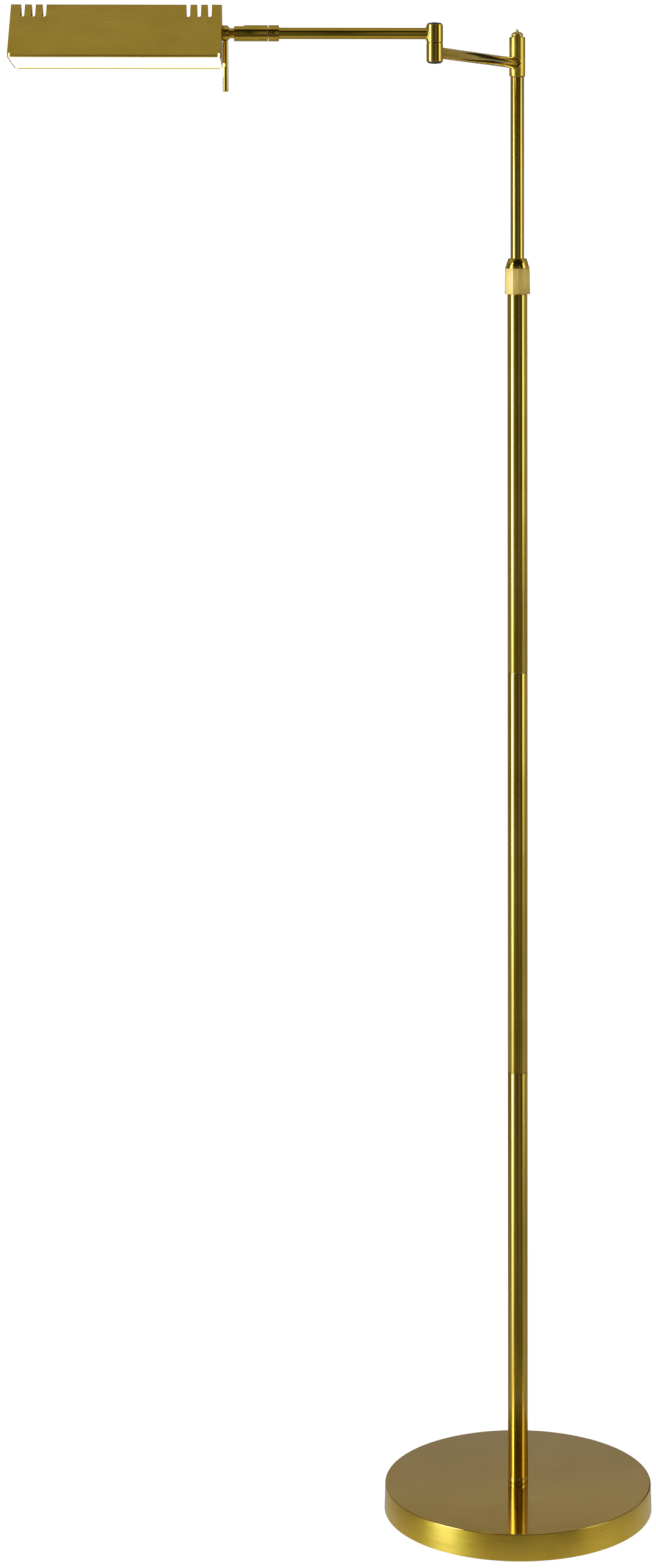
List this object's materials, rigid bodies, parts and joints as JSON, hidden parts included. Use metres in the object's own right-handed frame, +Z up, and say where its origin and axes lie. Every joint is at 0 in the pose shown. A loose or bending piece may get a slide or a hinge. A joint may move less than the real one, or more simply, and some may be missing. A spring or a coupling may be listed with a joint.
{
  "type": "adjustable arm floor lamp",
  "caption": "Floor lamp with a weighted round base, a telescoping mast, two swinging arms on an elbow, a rotary dimmer and a tilting tent-shaped LED head.",
  "frame": {"origin": "middle of the base's underside, on the floor", "axes": "+Z up along the pole, -Y to the front, -X towards the lamp head"},
  "size_m": [0.5755, 0.3796, 1.4133],
  "materials": {
    "antique_brass": "brushed antique brass under clear lacquer",
    "satin_brass": "satin",
    "cast_iron": "as cast",
    "zinc_steel": "zinc plated",
    "aluminium": "mill finish",
    "black_plastic": "moulded satin",
    "nylon": "turned",
    "pad_foam": "closed-cell foam",
    "board_mask": "white solder mask",
    "opal_acrylic": "opal, lit",
    "lead_jacket": "matte"
  },
  "bodies": {
    "stand": {"base_cover": "antique_brass", "base_weight": "cast_iron", "base_pad": "pad_foam", "cord_bush": "black_plastic", "foot_stud": "zinc_steel", "base_washer": "zinc_steel", "base_nut": "zinc_steel", "foot_ring": "antique_brass", "pole_lower": "antique_brass", "pole_middle": "antique_brass", "pole_upper": "antique_brass", "foot_plug": "zinc_steel", "joiner_lower": "zinc_steel", "joiner_upper": "zinc_steel", "pole_top_fitting": "zinc_steel", "collet": "nylon", "base_lead": "lead_jacket", "pole_lead": "lead_jacket"},
    "clamp_collar": {"collar_grip": "satin_brass", "collar_cone": "antique_brass"},
    "mast": {"mast_tube": "antique_brass", "mast_guide": "nylon", "hub_pivot": "zinc_steel", "hub_washer": "nylon", "finial_washer": "antique_brass", "finial_cap": "antique_brass", "mast_lead": "lead_jacket"},
    "inner_arm": {"swing_hub": "antique_brass", "inner_arm_tube": "antique_brass", "inner_arm_lead": "lead_jacket", "elbow_barrel_lower": "antique_brass", "elbow_pin": "zinc_steel", "elbow_cap_lower": "black_plastic"},
    "outer_arm": {"elbow_barrel_upper": "antique_brass", "elbow_washer": "black_plastic", "elbow_cap_upper": "black_plastic", "outer_arm_tube": "antique_brass", "arm_end_ring": "antique_brass", "swivel_shaft": "antique_brass", "dimmer_pot": "black_plastic", "outer_arm_lead": "lead_jacket", "spring_washer": "zinc_steel", "swivel_nut": "zinc_steel"},
    "dimmer": {"dimmer_knob": "antique_brass"},
    "head": {"swivel_flange": "antique_brass", "head_knuckle": "antique_brass", "knuckle_lock_ring": "zinc_steel", "handle_rod": "antique_brass", "shade": "antique_brass", "end_plate_right": "antique_brass", "end_plate_left": "antique_brass", "led_tray": "aluminium", "led_board": "board_mask", "board_screw_1": "zinc_steel", "board_screw_2": "zinc_steel", "diffuser": "opal_acrylic"}
  },
  "joints": [
    {"name": "collar_turn", "type": "hinge", "parent": "stand", "child": "clamp_collar", "pos_m": [0, 0, 1.166], "axis": [0, 0, 1], "range_deg": [0, 180]},
    {"name": "mast_slide", "type": "slide", "parent": "stand", "child": "mast", "axis": [0, 0, 1], "range_m": [-0.165, 0.1]},
    {"name": "inner_arm_swing", "type": "hinge", "parent": "mast", "child": "inner_arm", "pos_m": [0, 0, 1.3718], "axis": [0, 0, 1], "range_deg": [-170, 170]},
    {"name": "outer_arm_swing", "type": "hinge", "parent": "inner_arm", "child": "outer_arm", "pos_m": [-0.0766, -0.193, 1.38], "axis": [0, 0, 1], "range_deg": [-83.7, 216.3]},
    {"name": "dimmer_turn", "type": "hinge", "parent": "outer_arm", "child": "dimmer", "pos_m": [-0.0766, -0.193, 1.3882], "axis": [-0.999, -0.0436, 0], "range_deg": [-135, 135]},
    {"name": "head_tilt", "type": "hinge", "parent": "outer_arm", "child": "head", "pos_m": [-0.0766, -0.193, 1.3882], "axis": [-0.999, -0.0436, 0], "range_deg": [-94, 86]}
  ]
}
